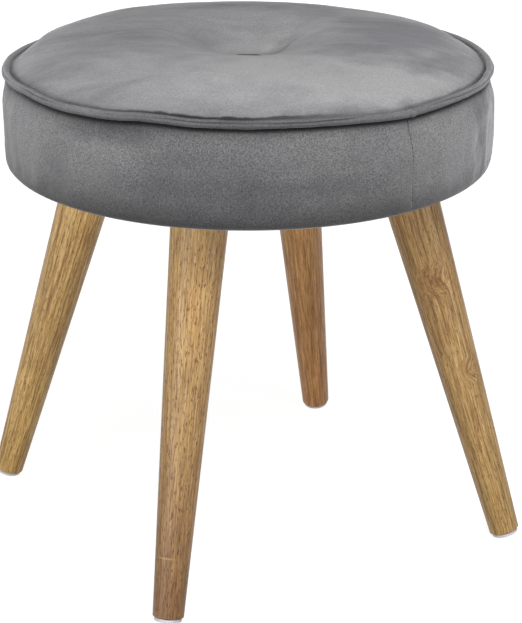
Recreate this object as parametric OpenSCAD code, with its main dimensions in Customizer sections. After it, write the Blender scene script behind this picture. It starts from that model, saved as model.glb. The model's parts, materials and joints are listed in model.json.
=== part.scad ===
// Round upholstered stool: a tufted velvet seat with a piped edge on four splayed, tapered wooden legs.
// Millimetres, +Z up. The origin is on the floor under the middle of the seat.
// The legs stand on the diagonals, and the front is at -Y.

/* [Seat] */
// Widest diameter of the covered seat
seat_d = 401; // [380:1:440]
// Height of the seat's underside above the floor
under_h = 321.5; // [260:0.5:380]
// Height of the side band, from the underside to its top seam
band_h = 71.5; // [62:0.5:100]
// Height of the band's widest line above the underside
widest_h = 38.5; // [30:0.5:48]
// How far the band draws in from its widest line to its top seam
band_draw_in = 1; // [0.4:0.1:3]
// Radius of the band's corner where it turns under the seat
corner_r = 4; // [3:0.5:8]
// Radius of the band's corner where it turns in to the top seam
seam_r = 3; // [2.5:0.5:5]
// Rise of the crown above its edge, before the tuft draws it down
crown_h = 27; // [18:1:40]
// Power of the crown's curve: a higher one is flatter on top and steeper at the edge
crown_power = 4; // [2:1:6]

/* [Tuft] */
// Depth of the wide hollow around the tuft
hollow_depth = 20; // [8:1:24]
// Radius at which the wide hollow has risen by about two thirds
hollow_r = 45; // [30:1:60]
// Further depth of the narrow well that holds the button
well_depth = 12; // [6:1:14]
// Radius of the narrow well
well_r = 16; // [13:0.5:24]
// How far the foam block itself is pulled down at the tuft
foam_dip = 12; // [10:1:20]
// Diameter of the covered button
button_d = 22; // [18:1:24]
// Height of the covered button
button_h = 5; // [4:0.5:7]
// Diameter of the button's shank
shank_d = 4; // [3:0.5:5]
// Length of the button's shank
shank_h = 3; // [2:0.5:4]
// Diameter of the waxed twine
twine_d = 2; // [1.5:0.1:3]
// Diameter of the knot under the anchor disc
knot_d = 5; // [4:0.5:6]
// Diameter of the anchor disc that the twine is tied to
anchor_d = 18; // [14:1:24]
// Thickness of the anchor disc
anchor_t = 3; // [2:0.5:4]

/* [Covers] */
// Thickness of the velvet with its backing
velvet_t = 1.6; // [1.2:0.1:2]
// Width of the velvet turned under the board
margin_w = 22; // [18:1:24]
// Width of the seam allowance under the edge of the crown
seam_w = 12; // [8:1:16]
// Thickness of the seam allowance of the piping
flange_t = 2.4; // [1.6:0.1:3]
// Outer diameter of the piping
piping_d = 8; // [6:0.5:10]
// Thickness of the piping's velvet sleeve
sleeve_t = 1.4; // [1:0.1:1.6]
// Thickness of the black cover under the seat
cover_t = 0.8; // [0.4:0.1:1.2]
// Distance from the edge of the seat to the edge of the black cover
cover_inset = 13.5; // [11:0.5:15]

/* [Board and foam] */
// Thickness of the plywood seat board
board_t = 15; // [14:1:22]
// Thickness of the foam strip around the board and the foam block
rim_t = 10; // [5:0.5:12]

/* [Legs] */
// Distance from the edge of the seat to a leg's axis, at the underside
leg_inset = 70.5; // [68:0.5:100]
// Angle of a leg from the vertical
leg_splay = 17; // [8:0.5:20]
// Diameter of a leg at its top
leg_top_d = 46.2; // [40:0.2:48]
// Diameter of a leg at its foot
leg_foot_d = 25; // [24:0.2:34]
// Width of the bevel around a leg's foot and top
leg_bevel = 1.2; // [0.5:0.1:2]
// Diameter of a plastic glide
glide_d = 22; // [18:0.5:23.5]
// Thickness of a plastic glide
glide_t = 2.5; // [2:0.1:4]
// Bevel around a glide's lower edge
glide_bevel = 0.4; // [0.2:0.1:0.6]
// Depth of the flat that a glide stands on
glide_flat = 0.5; // [0.4:0.1:0.8]

/* [Leg plates] */
// Width of a square leg plate
plate_w = 62; // [58:1:64]
// Thickness of a leg plate
plate_t = 2.5; // [2:0.1:3]
// Corner radius of a leg plate
plate_corner_r = 6; // [3:0.5:7]
// Distance from a screw hole to the edges of its plate
hole_edge = 8; // [6:0.5:9]
// Diameter of the slanted boss that a leg's top bears on
boss_d = 38; // [30:1:40]
// Space between a leg's upper edge and its plate
leg_top_gap = 0.7; // [0.4:0.1:2]

/* [Fasteners] */
// Diameter of a hanger bolt
bolt_d = 8; // [6:1:10]
// Length of a hanger bolt inside its leg
bolt_in_leg = 36; // [25:1:50]
// Length of a hanger bolt above its leg
bolt_above_leg = 14; // [12:0.5:16]
// Shank diameter of a plate screw
screw_d = 4; // [3:0.5:4.5]
// Length of a plate screw under its head
screw_l = 14; // [10:1:15]
// Diameter of a screw's head
screw_head_d = 8.5; // [7:0.5:9]
// Height of a screw's head
screw_head_h = 2.4; // [1.8:0.2:3]
// Shank diameter of a glide's nail
nail_d = 2.4; // [2:0.1:3]
// Length of a glide's nail inside its leg
nail_in_leg = 12; // [8:1:18]
// Diameter of a nail's head
nail_head_d = 6; // [5:0.5:7]
// Height of a nail's head
nail_head_h = 1; // [0.8:0.1:1.2]
// Width of a staple
staple_w = 10; // [8:1:12]
// Width of a staple's wire
wire_w = 1.2; // [0.8:0.1:1.4]
// Thickness of a staple's wire
wire_t = 0.6; // [0.5:0.1:0.7]
// Length of a staple's prongs
prong_l = 7; // [6:0.5:9]
// Number of staples that hold the turned-under velvet
band_staples_n = 20; // [12:4:24]
// Number of staples that hold the black cover
cover_staples_n = 20; // [12:4:24]

/* [Clearances] */
// Gap between one soft layer and the next
layer_gap = 0.3; // [0.2:0.05:0.4]
// Radial gap of a bolt, screw or nail in its hole
hole_gap = 0.15; // [0.1:0.05:0.3]
// Gap of a staple to the cloth under its bar
staple_gap = 0.1; // [0.05:0.05:0.2]

/* [Hidden] */
$fn = 72;

legs_n = 4;
first_leg_angle = 45;
curve_steps = 40;
corner_steps = 6;
side_steps = 10;
past = 1;

// Seat, from the underside up
seat_r = seat_d / 2;
widest_z = under_h + widest_h;
seam_z = under_h + band_h;
board_z = under_h + velvet_t + layer_gap;
board_top = board_z + board_t;
foam_z = board_top + layer_gap;
foam_top = seam_z - velvet_t - layer_gap;
board_r = seat_r - velvet_t - rim_t - 2 * layer_gap;
margin_in_r = seat_r - corner_r - margin_w;

// Piping and the edge of the crown
piping_r = piping_d / 2;
piping_ring_r = seat_r - piping_r;
piping_z = seam_z + layer_gap + piping_r;
flange_top = seam_z + layer_gap + flange_t;
crown_r = seat_r - piping_d - layer_gap;
seam_in_r = crown_r - seam_w;
// The crown's layers are measured straight down, so they get a little more for its slopes
slope_allowance = 1.25;
panel_t = slope_allowance * velvet_t;
wadding_gap = slope_allowance * layer_gap;
crown_edge_z = flange_top + layer_gap + panel_t;
wadding_inset = 8;
wadding_r = crown_r - wadding_inset;

// Tuft
button_r = button_d / 2;
button_z = crown_z(button_r) + layer_gap;
button_edge_h = button_h * 0.4;
button_bevel = 0.5;
shank_hole_r = shank_d / 2 + 2 * layer_gap;
recess_h = anchor_t + knot_d + layer_gap;
anchor_z = board_z + recess_h - anchor_t - staple_gap;
twine_hole_r = twine_d / 2 + 2 * layer_gap;
foam_dip_r = 40;

// Cover under the seat
cover_low_top = under_h - wire_t - staple_gap - layer_gap;
cover_high_top = board_z - layer_gap;
cover_r = seat_r - cover_inset;
cover_step_inset = 4;
cover_step_r = margin_in_r - cover_step_inset;
cover_step_w = 3.5;
staple_r = (margin_in_r + cover_r) / 2;

// Leg plates and legs
plate_z = cover_high_top - cover_t - layer_gap - plate_t;
plate_r = seat_r - leg_inset + (under_h - plate_z) * tan(leg_splay);
hole_at = plate_w / 2 - hole_edge;
leg_top_r = leg_top_d / 2;
leg_foot_r = leg_foot_d / 2;
boss_drop = leg_top_r * sin(leg_splay) + leg_top_gap;
boss_l = boss_drop / cos(leg_splay);
leg_top_z = plate_z - boss_drop;
glide_r = glide_d / 2;
glide_centre_z = glide_r * sin(leg_splay) - glide_flat;
leg_l = (leg_top_z - glide_centre_z) / cos(leg_splay) - glide_t;
board_hole_gap = 2;
board_hole_r = bolt_d / 2 + board_hole_gap;

// Surface of the crown at a radius, with the tuft drawn into it
function crown_z(r) = crown_edge_z
    + crown_h * (1 - pow(r / crown_r, crown_power))
    - hollow_depth * exp(-pow(r / hollow_r, 2))
    - well_depth * exp(-pow(r / well_r, 4));

// Top of the foam block at a radius
function foam_z_at(r) = foam_top - foam_dip * exp(-pow(r / foam_dip_r, 2));

// Radius of the band at a height
function band_r(z) = seat_r - band_draw_in * pow((z - widest_z) / (seam_z - widest_z), 2);

// Points of a quarter arc from one angle to another
function arc(x, z, r, from, to) =
    [for (i = [0:corner_steps]) let (a = from + (to - from) * i / corner_steps) [x + r * cos(a), z + r * sin(a)]];

// Outline of everything inside the band, drawn in by a thickness
function seat_outline(inset) = concat(
    [[0, under_h + inset]],
    arc(band_r(under_h + corner_r) - corner_r, under_h + corner_r, corner_r - inset, -90, 0),
    [for (i = [1:side_steps - 1])
        let (z = under_h + corner_r + (band_h - corner_r - seam_r) * i / side_steps)
        [band_r(z) - inset, z]],
    arc(band_r(seam_z - seam_r) - seam_r, seam_z - seam_r, seam_r - inset, 0, 90),
    [[0, seam_z - inset]]);

module ring_box(inner, outer, low, high) {
    translate([inner, low])
        square([outer - inner, high - low]);
}

module at_plate(i) {
    rotate([0, 0, first_leg_angle + i * 360 / legs_n])
        translate([plate_r, 0, plate_z])
            children();
}

// The leg's own frame: its origin is the middle of the leg's top and +Z runs up the leg
module at_leg(i) {
    at_plate(i)
        rotate([0, -leg_splay, 0])
            translate([0, 0, -boss_l])
                children();
}

module at_screws() {
    for (x = [-hole_at, hole_at])
        for (y = [-hole_at, hole_at])
            translate([x, y, 0])
                children();
}

module at_band_staples() {
    for (i = [0:band_staples_n - 1])
        rotate([0, 0, i * 360 / band_staples_n])
            translate([staple_r, 0, under_h - staple_gap])
                children();
}

module at_cover_staples() {
    for (i = [0:cover_staples_n - 1])
        rotate([0, 0, (i + 0.5) * 360 / cover_staples_n])
            translate([staple_r, 0, cover_low_top - cover_t - staple_gap])
                children();
}

// A staple with its bar under the cloth and its prongs up, grown by a gap for its slots
module staple(grow) {
    translate([-wire_w / 2, -staple_w / 2, -wire_t])
        cube([wire_w, staple_w, wire_t]);
    staple_prongs(grow);
}

module staple_prongs(grow) {
    for (side = [-1, 1])
        translate([0, side * (staple_w - wire_t) / 2, 0])
            translate([-wire_w / 2 - grow, -wire_t / 2 - grow, -wire_t / 2])
                cube([wire_w + 2 * grow, wire_t + 2 * grow, prong_l + grow]);
}

module staple_slots() {
    at_band_staples()
        staple_prongs(hole_gap);
    at_cover_staples()
        staple_prongs(hole_gap);
}

module seat_board() {
    color("#c9a774")
        difference() {
            translate([0, 0, board_z])
                cylinder(r = board_r, h = board_t);
            translate([0, 0, board_z - past])
                cylinder(r = anchor_d / 2 + layer_gap, h = recess_h + past);
            translate([0, 0, board_z])
                cylinder(r = twine_hole_r, h = board_t + past);
            for (i = [0:legs_n - 1]) {
                at_plate(i)
                    at_screws()
                        cylinder(r = screw_d / 2 + hole_gap, h = screw_l + hole_gap);
                at_leg(i)
                    cylinder(r = board_hole_r, h = bolt_above_leg + past);
            }
            staple_slots();
        }
}

module foam_core() {
    color("#e9dfae")
        rotate_extrude()
            polygon(concat(
                [[twine_hole_r, foam_z], [board_r, foam_z]],
                [for (i = [curve_steps:-1:0])
                    let (r = twine_hole_r + (board_r - twine_hole_r) * i / curve_steps)
                    [r, foam_z_at(r)]]));
}

module foam_rim() {
    color("#ded7c0")
        rotate_extrude()
            difference() {
                polygon(seat_outline(velvet_t + layer_gap));
                ring_box(0, board_r + layer_gap, under_h, seam_z);
            }
}

module top_wadding() {
    low_r = seam_in_r - layer_gap;
    color("#f2f1ec")
        rotate_extrude()
            polygon(concat(
                [for (i = [0:curve_steps])
                    let (r = shank_hole_r + (low_r - shank_hole_r) * i / curve_steps)
                    [r, foam_z_at(r) + layer_gap]],
                [[low_r, flange_top + layer_gap], [wadding_r, flange_top + layer_gap]],
                [for (i = [curve_steps:-1:0])
                    let (r = shank_hole_r + (wadding_r - shank_hole_r) * i / curve_steps)
                    [r, crown_z(r) - panel_t - wadding_gap]]));
}

module top_panel() {
    color("#8a898c")
        rotate_extrude()
            polygon(concat(
                [for (i = [0:curve_steps])
                    let (r = shank_hole_r + (crown_r - shank_hole_r) * i / curve_steps)
                    [r, crown_z(r) - panel_t]],
                [for (i = [curve_steps:-1:0])
                    let (r = shank_hole_r + (crown_r - shank_hole_r) * i / curve_steps)
                    [r, crown_z(r)]]));
}

module side_band() {
    color("#7c7b7e")
        difference() {
            rotate_extrude()
                difference() {
                    polygon(seat_outline(0));
                    polygon(seat_outline(velvet_t));
                    ring_box(0, margin_in_r, under_h - past, widest_z);
                    ring_box(0, seam_in_r, widest_z, seam_z + past);
                }
            staple_slots();
        }
}

module piping_sleeve() {
    color("#858487")
        rotate_extrude()
            difference() {
                union() {
                    translate([piping_ring_r, piping_z])
                        circle(r = piping_r);
                    ring_box(seam_in_r, piping_ring_r - piping_r / 2, seam_z + layer_gap, flange_top);
                }
                translate([piping_ring_r, piping_z])
                    circle(r = piping_r - sleeve_t);
            }
}

module piping_cord() {
    color("#efeee8")
        rotate_extrude()
            translate([piping_ring_r, piping_z])
                circle(r = piping_r - sleeve_t - layer_gap);
}

module tuft_button() {
    steps = 8;
    color("#848386")
        union() {
            rotate_extrude()
                polygon(concat(
                    [[0, button_z], [button_r - button_bevel, button_z], [button_r, button_z + button_bevel]],
                    [for (i = [steps:-1:0])
                        let (r = button_r * i / steps)
                        [r, button_z + button_edge_h + (button_h - button_edge_h) * (1 - pow(i / steps, 2))]]));
            translate([0, 0, button_z - shank_h])
                cylinder(d = shank_d, h = shank_h + button_edge_h);
        }
}

module tuft_twine() {
    twine_top = button_z - shank_h - staple_gap;
    color("#d8cfb5")
        union() {
            translate([0, 0, anchor_z - knot_d / 2])
                cylinder(d = twine_d, h = twine_top - anchor_z + knot_d / 2);
            translate([0, 0, anchor_z - knot_d / 2 - staple_gap])
                sphere(d = knot_d);
        }
}

module twine_anchor() {
    color("#2e2e30")
        translate([0, 0, anchor_z])
            difference() {
                cylinder(d = anchor_d, h = anchor_t);
                translate([0, 0, -past])
                    cylinder(r = twine_d / 2 + hole_gap, h = anchor_t + 2 * past);
            }
}

module dust_cover() {
    color("#1d1d1f")
        difference() {
            rotate_extrude()
                polygon([
                    [0, cover_high_top - cover_t],
                    [cover_step_r - cover_step_w, cover_high_top - cover_t],
                    [cover_step_r, cover_low_top - cover_t],
                    [cover_r, cover_low_top - cover_t],
                    [cover_r, cover_low_top],
                    [cover_step_r, cover_low_top],
                    [cover_step_r - cover_step_w, cover_high_top],
                    [0, cover_high_top]]);
            for (i = [0:legs_n - 1]) {
                at_plate(i)
                    at_screws()
                        cylinder(r = screw_d / 2 + hole_gap, h = screw_l);
                at_leg(i)
                    cylinder(r = board_hole_r, h = bolt_above_leg + past);
            }
            at_cover_staples()
                staple_prongs(hole_gap);
        }
}

module band_staples() {
    color("#b9bbbe")
        at_band_staples()
            staple(0);
}

module cover_staples() {
    color("#b9bbbe")
        at_cover_staples()
            staple(0);
}

module rounded_plate() {
    side = plate_w - 2 * plate_corner_r;
    square([plate_w, side], center = true);
    square([side, plate_w], center = true);
    for (x = [-side / 2, side / 2])
        for (y = [-side / 2, side / 2])
            translate([x, y])
                circle(r = plate_corner_r);
}

module leg_plate(i) {
    color("#3a3b3e")
        at_plate(i)
            difference() {
                union() {
                    linear_extrude(plate_t)
                        rounded_plate();
                    intersection() {
                        rotate([0, -leg_splay, 0])
                            translate([0, 0, -boss_l])
                                cylinder(d = boss_d, h = boss_d);
                        translate([-plate_w, -plate_w, -plate_w])
                            cube([2 * plate_w, 2 * plate_w, plate_w + plate_t / 2]);
                    }
                }
                rotate([0, -leg_splay, 0])
                    translate([0, 0, -boss_l - past])
                        cylinder(r = bolt_d / 2 + hole_gap, h = boss_l + 2 * plate_t + past + bolt_d);
                translate([0, 0, -past])
                    at_screws()
                        cylinder(r = screw_d / 2 + hole_gap, h = plate_t + 2 * past);
            }
}

module plate_screw() {
    point_l = screw_d;
    union() {
        translate([0, 0, -screw_head_h])
            cylinder(d1 = 0.7 * screw_head_d, d2 = screw_head_d, h = screw_head_h);
        translate([0, 0, -screw_head_h / 2])
            cylinder(d = screw_d, h = screw_head_h / 2 + screw_l - point_l);
        translate([0, 0, screw_l - point_l])
            cylinder(d1 = screw_d, d2 = screw_d / 4, h = point_l);
    }
}

module plate_screws() {
    color("#c4c6c8")
        for (i = [0:legs_n - 1])
            at_plate(i)
                at_screws()
                    plate_screw();
}

module hanger_bolts() {
    point_l = bolt_d;
    end_bevel = 1;
    bolt_r = bolt_d / 2;
    color("#c4c6c8")
        for (i = [0:legs_n - 1])
            at_leg(i)
                rotate_extrude()
                    polygon([
                        [0, -bolt_in_leg],
                        [bolt_r / 4, -bolt_in_leg],
                        [bolt_r, point_l - bolt_in_leg],
                        [bolt_r, bolt_above_leg - end_bevel],
                        [bolt_r - end_bevel, bolt_above_leg],
                        [0, bolt_above_leg]]);
}

module leg(i) {
    color("#b98d57")
        at_leg(i)
            difference() {
                rotate_extrude()
                    polygon([
                        [0, 0],
                        [leg_top_r - leg_bevel, 0],
                        [leg_top_r, -leg_bevel],
                        [leg_foot_r, leg_bevel - leg_l],
                        [leg_foot_r - leg_bevel, -leg_l],
                        [0, -leg_l]]);
                translate([0, 0, -bolt_in_leg - past])
                    cylinder(r = bolt_d / 2 + hole_gap, h = bolt_in_leg + 2 * past);
                translate([0, 0, -leg_l - past])
                    cylinder(r = nail_d / 2 + hole_gap, h = nail_in_leg + 2 * past);
            }
}

module glide(i) {
    head_room = nail_head_h + layer_gap;
    color("#d9d8d4")
        difference() {
            at_leg(i)
                translate([0, 0, -leg_l - glide_t])
                    difference() {
                        rotate_extrude()
                            polygon([
                                [0, 0],
                                [glide_r - glide_bevel, 0],
                                [glide_r, glide_bevel],
                                [glide_r, glide_t],
                                [0, glide_t]]);
                        translate([0, 0, -past])
                            cylinder(r = nail_d / 2 + hole_gap, h = glide_t + 2 * past);
                        translate([0, 0, -past])
                            cylinder(r = nail_head_d / 2 + hole_gap, h = head_room + past);
                    }
            translate([-seat_d, -seat_d, -seat_d])
                cube([2 * seat_d, 2 * seat_d, seat_d]);
        }
}

module glide_nails() {
    color("#c4c6c8")
        for (i = [0:legs_n - 1])
            at_leg(i)
                translate([0, 0, -leg_l - glide_t + layer_gap])
                    union() {
                        cylinder(d = nail_head_d, h = nail_head_h);
                        cylinder(d = nail_d, h = glide_t + nail_in_leg - layer_gap);
                    }
}

seat_board();
foam_core();
foam_rim();
top_wadding();
top_panel();
side_band();
piping_sleeve();
piping_cord();
tuft_button();
tuft_twine();
twine_anchor();
dust_cover();
band_staples();
cover_staples();
plate_screws();
hanger_bolts();
glide_nails();
leg_plate(0);  // leg_plate_back_right
leg_plate(1);  // leg_plate_back_left
leg_plate(2);  // leg_plate_front_left
leg_plate(3);  // leg_plate_front_right
leg(0);  // leg_back_right
leg(1);  // leg_back_left
leg(2);  // leg_front_left
leg(3);  // leg_front_right
glide(0);  // glide_back_right
glide(1);  // glide_back_left
glide(2);  // glide_front_left
glide(3);  // glide_front_right
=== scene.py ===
"""Round velvet ottoman on splayed wooden legs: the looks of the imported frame, in metres, +Z up."""

import json
from math import atan2, cos, exp, hypot, pi, radians, sin, sqrt

import bmesh
import bpy
from mathutils import Matrix, Vector, noise
from mathutils.bvhtree import BVHTree
from mathutils.geometry import barycentric_transform


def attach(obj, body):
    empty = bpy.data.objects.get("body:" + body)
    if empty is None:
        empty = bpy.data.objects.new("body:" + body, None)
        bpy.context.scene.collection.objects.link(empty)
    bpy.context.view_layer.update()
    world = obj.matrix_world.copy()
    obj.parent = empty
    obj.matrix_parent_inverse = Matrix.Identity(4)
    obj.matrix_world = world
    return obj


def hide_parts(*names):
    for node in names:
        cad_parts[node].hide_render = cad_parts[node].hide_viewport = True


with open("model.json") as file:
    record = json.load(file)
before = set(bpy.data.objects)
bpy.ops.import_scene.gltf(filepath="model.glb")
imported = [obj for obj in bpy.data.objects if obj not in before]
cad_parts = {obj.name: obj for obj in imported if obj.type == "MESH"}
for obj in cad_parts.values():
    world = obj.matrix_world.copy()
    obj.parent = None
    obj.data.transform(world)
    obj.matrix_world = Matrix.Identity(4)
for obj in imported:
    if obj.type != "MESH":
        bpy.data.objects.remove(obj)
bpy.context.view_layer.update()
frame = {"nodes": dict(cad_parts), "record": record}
MM = 0.001

# Sizes of the seat, as in the part's source
SEAT_R = 200.5 * MM
UNDER_Z = 321.5 * MM
SEAM_Z = 393 * MM
WIDEST_Z = 360 * MM
DRAW_IN = 1 * MM
CORNER_R = 5.5 * MM
TOP_CORNER_R = 4.5 * MM
BAND_SIDE = (UNDER_Z + CORNER_R, SEAM_Z - TOP_CORNER_R)
MARGIN_IN_R = 174.5 * MM
VELVET_T = 1.6 * MM
CROWN_R = 192.2 * MM
CROWN_EDGE_Z = 398 * MM
CROWN_H = 27 * MM
CROWN_POWER = 4
HOLLOW_DEPTH = 20 * MM
HOLLOW_R = 45 * MM
WELL_DEPTH = 12 * MM
WELL_R = 16 * MM
SHANK_HOLE_R = 2.6 * MM
BUTTON_R = 11 * MM
BUTTON_BOTTOM_Z = 396.9 * MM
PIPING_R = 4 * MM
PIPING_RING_R = SEAT_R - PIPING_R
PIPING_Z = SEAM_Z + 0.3 * MM + PIPING_R
CORD_R = 2.3 * MM
FLANGE_IN_R = 180.2 * MM
FLANGE_T = 2.4 * MM
FLANGE_TOP_Z = SEAM_Z + 0.3 * MM + FLANGE_T + 0.3 * MM
FOAM_TOP_Z = 391.1 * MM
FOAM_DIP = 12 * MM
FOAM_DIP_R = 40 * MM
WADDING_R = 184 * MM
BOARD_R = 188.3 * MM

# Sizes of the looks alone: button, piping, stitches, the band's waist and the crown's edge
BUTTON_H = 3.2 * MM
SLEEVE_R = 3.3 * MM
SLEEVE_OUT = 0.3 * MM
CROWN_OUT = 0.8 * MM
STITCH = 3.2 * MM
JOIN_DEPTH = 0.9 * MM
BAND_SLACK = 1.2 * MM
WAIST_DEPTH = 2.7 * MM
WAIST_LOW_Z = 372 * MM
WAIST_Z = 388 * MM
CROWN_START_DROP = 4 * MM
EDGE_DIP = 1.2 * MM
EDGE_ZONE = 8 * MM
PIPING_DENT = 0.5 * MM

# How many steps the band's drawn outline has along its margin and round its lower corner
MARGIN_STEPS = 5
CORNER_STEPS = 5

# The tuft as it looks: a soft bowl whose cloth closes over the button to a slit between two lips. In
# tuft_rings(), the rings from the seventh on are the lips' own
BOWL_R = 54 * MM
BOWL_POWER = 3
SLIT_HALF = 10.6 * MM
SLIT_GAP = 2 * MM
SLIT_BACK = -3 * MM
LIP_R = 2 * MM
LIP_Z = 402.4 * MM
LIP_BLEND_R = 30 * MM
FIRST_LIP_RING = 6

# How much of the unevenness that the cloth simulations give is kept
CROWN_SHARE = 0.7
BAND_SHARE = 0.5

# Black cover under the seat
COVER_R = 187 * MM
COVER_STEP_R = 170.5 * MM
COVER_STEP_W = 3.5 * MM
COVER_LOW_Z = 320.5 * MM
COVER_HIGH_Z = 323.1 * MM

# Legs and their plates
LEG_SPLAY = radians(17)
PLATE_R = 130.61 * MM
PLATE_Z = 319.5 * MM
PLATE_T = 2.5 * MM
BOSS_L = 7.79 * MM
SCREW_AT = 23 * MM
SCREW_PLACES = [(x, y) for x in (-SCREW_AT, SCREW_AT) for y in (-SCREW_AT, SCREW_AT)]
PLACES = {"back_right": 45, "back_left": 135, "front_left": 225, "front_right": 315}

# The sewn top is not a true, level ring: how much narrower it is from front to back, how far
# its front is drawn up, and its waves as (degrees from the front, width in degrees, height in mm)
TOP_NARROW = 8 * MM
TOP_SHIFT = 0.4 * MM
SEAM_TILT = 3.8 * MM
SEAM_WAVES = ((-22, 8, 1.8), (-45, 9, -1), (-62, 6, 1), (38, 10, -1.8), (-112, 20, -2.3), (78, 5, 0.8),
              (114, 15, 1.2))

# Where the crown is fuller than a true dome: degrees from the front, width in degrees, share of its
# radius, width as a share, height in mm
CROWN_SWELLS = ((-124, 32, 0.86, 0.2, 5.4), (-103, 13, 0.88, 0.14, 3.5), (118, 17, 0.87, 0.2, 2.6))

# Folds drawn in to the button as (degrees from the front, width in degrees, depth in mm, reach in mm)
TUFT_FOLDS = ((-112, 15, 2.6, 42), (135, 12, 3.4, 60), (-38, 16, 0.9, 30), (42, 14, 0.9, 30),
              (176, 18, 0.8, 36))

# The lips of the slit run on as creases to its left and right: points (x, y) in mm as the photograph sees
# them, their depth at the slit and the widths of their near and far sides
LIP_CREASES = (((-10, -3), (-18, -2), (-27, -1), (-36, 2), (-52, 0)),
               ((10, -3), (19, -1), (28.5, 5), (35, 17), (48, 26)))
CREASE_DEPTH = 1.8 * MM
CREASE_NEAR = 2 * MM
CREASE_FAR = 6 * MM

# Short upright folds of the band below the piping as (degrees from the front, width in degrees, depth
# in mm)
BAND_FOLDS = ((76, 1.6, 0.9), (80, 1.3, 1.1), (84, 1.8, 0.8), (-80, 2, 0.7), (150, 2, 0.8),
              (-150, 2.2, 0.7))

# The photograph looks at the stool turned by this much, and the sewn joins stand here
PHOTO_TURN = radians(-28.84)
SEAM_ANGLE = radians(-79.84)

# The photograph's camera, 21 degrees above level, in its own turned frame
PIXELS_HIGH = 623
FOCAL_PIXELS = 2285.7
SENSOR = 36
CAMERA_DISTANCE = 1946.15 * MM
CAMERA_UP = radians(21.01)
CAMERA_AIM = (10.25 * MM, 0, 180.16 * MM)

# The world's light, and the soft lamps as the photograph sees them, x to the right, y away and z up:
# name, place, aim, width, height and watts
WORLD_LIGHT = 0.3
LAMPS = (("top", (0.4, -1.1, 1.9), (0, 0, 0.38), 1.2, 1.2, 34),
         ("left", (-1.9, -1.7, 0.4), (0, 0, 0.2), 1.2, 0.7, 25),
         ("right", (2.1, -1.5, 0.4), (0, 0, 0.2), 1.2, 0.7, 13),
         ("front", (-0.3, -2.6, 0.25), (0, 0, 0.2), 1.6, 0.3, 14),
         ("back", (0.3, 2.6, 0.25), (0, 0, 0.2), 1.6, 0.3, 24))

# How the padded cloth behaves while it is filled
CLOTH = dict(quality=6, mass=0.3, tension_stiffness=15, compression_stiffness=15, shear_stiffness=5,
             bending_stiffness=0.6, vertex_group_mass="held", use_pressure=True)


def dome_z(r):
    return CROWN_EDGE_Z + CROWN_H * (1 - (r / CROWN_R) ** CROWN_POWER)


def crown_z(r):
    """The top of the part's own solid."""
    return dome_z(r) - HOLLOW_DEPTH * bell(r, HOLLOW_R) - WELL_DEPTH * exp(-(r / WELL_R) ** 4)


def soft_crown_z(r):
    return dome_z(r) - HOLLOW_DEPTH * exp(-(r / BOWL_R) ** BOWL_POWER)


def band_r(z):
    return SEAT_R - DRAW_IN * ((z - WIDEST_Z) / (SEAM_Z - WIDEST_Z)) ** 2


def clamp(x):
    return min(1, max(0, x))


def bell(distance, width):
    return exp(-(distance / width) ** 2)


def hump(along, at, width):
    """A bell round the seat, its place from the front and its width in degrees."""
    return bell(angle_from(along, radians(at)), radians(width))


def from_front(a):
    """The angle round the seat from the side that faces the photograph, plus to its right."""
    return angle_from(a, PHOTO_TURN - pi / 2)


def drawn_in(a):
    """How far the piping sits in from a true ring: the top is a little narrower from front to back."""
    along = from_front(a)
    return TOP_NARROW * cos(along) ** 2 + TOP_SHIFT * (sin(along) - 1)


def drawn_up(a):
    """How far the piping stands above its level ring, as sewn by hand."""
    along = from_front(a)
    lift = SEAM_TILT * cos(along) * (1 if cos(along) > 0 else 0.8) - 0.3 * MM
    for at, width, height in SEAM_WAVES:
        lift += height * MM * hump(along, at, width)
    return lift


def angle_from(a, b):
    return (a - b + pi) % (2 * pi) - pi


def polar(r, a, z):
    return Vector((r * cos(a), r * sin(a), z))


def uneven(x, y, z):
    """Smooth noise from -1 to 1."""
    return noise.noise(Vector((x, y, z)))


def wander(a, scale, seed):
    """The same along a circle, so that it closes on itself round the seat."""
    return uneven(scale * cos(a), scale * sin(a), seed)


def arc(x, z, r, start, steps):
    """Points of a quarter circle round (x, z), from a start angle in degrees."""
    turns = [radians(start + 90 * i / steps) for i in range(steps + 1)]
    return [(x + r * cos(turn), z + r * sin(turn)) for turn in turns]


# Meshes

def add(name, data):
    obj = bpy.data.objects.new(name, data)
    bpy.context.scene.collection.objects.link(obj)
    return obj


def make(name, points, faces):
    mesh = bpy.data.meshes.new(name)
    mesh.from_pydata([tuple(p) for p in points], [], faces)
    mesh.update()
    mesh.shade_smooth()
    return add(name, mesh)


def lathe(name, angles, count, point, closed=False, filled=False):
    """Sweeps point(angle, j) round an upright axis, with count points across. closed joins the last of them
    to the first, and filled closes both ends."""
    points = [point(a, j) for a in angles for j in range(count)]
    faces = []
    across = count if closed else count - 1
    for i in range(len(angles)):
        k = (i + 1) % len(angles)
        for j in range(across):
            m = (j + 1) % count
            faces.append((i * count + j, k * count + j, k * count + m, i * count + m))
    obj = make(name, points, faces)
    if filled:
        close_ends(obj)
    else:
        for face in obj.data.polygons:
            face.flip()
    return obj


def mark(obj, name, values):
    """Gives each point of a piece a number that its colour reads. The values repeat along its points."""
    layer = obj.data.attributes.new(name, "FLOAT", "POINT")
    for n, item in enumerate(layer.data):
        item.value = values[n % len(values)]


def even_angles(count):
    return [2 * pi * i / count for i in range(count)]


def seam_angles(count):
    """Angles round the seat, close together at the sewn join."""
    half, steps = 7 * MM / SEAT_R, 28
    close = [SEAM_ANGLE - half + 2 * half * i / steps for i in range(steps + 1)]
    rest = 2 * pi - 2 * half
    wide = [SEAM_ANGLE + half + rest * i / count for i in range(1, count)]
    return close + wide


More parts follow.
